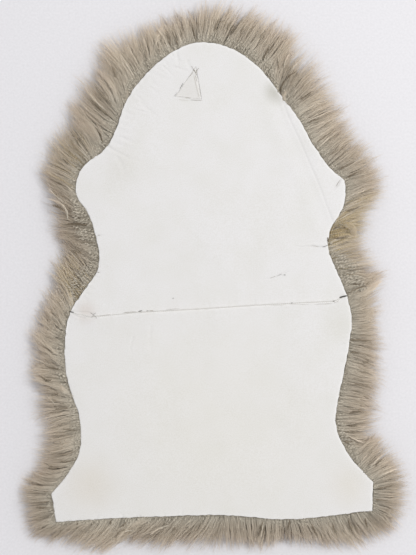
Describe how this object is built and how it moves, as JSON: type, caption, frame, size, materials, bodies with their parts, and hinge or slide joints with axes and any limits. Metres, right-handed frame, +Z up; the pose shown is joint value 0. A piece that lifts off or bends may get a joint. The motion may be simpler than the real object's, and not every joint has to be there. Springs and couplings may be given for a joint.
{
  "type": "sheepskin rug",
  "caption": "Long-wool sheepskin rug with a natural hide outline, lying wool side down: pale tanned leather panels joined by a cross seam, with beige wool reaching out all round.",
  "frame": {"origin": "on the floor, under the middle of the rug's outer box", "axes": "+Y along the rug to its crown (the neck end), +X to the right as the rug is seen from above, +Z up from the wool to the leather"},
  "size_m": [0.6698, 0.9523, 0.0473],
  "materials": {
    "leather": "pale tanned flesh side, matte suede-like",
    "patch_leather": "pale tanned flesh side, matte, set in by hand stitches",
    "wool": "long beige wool in crimped locks"
  },
  "bodies": {
    "root": {"skin_upper": "leather", "skin_lower": "leather", "skin_patch": "patch_leather", "fleece": "wool"}
  },
  "joints": []
}
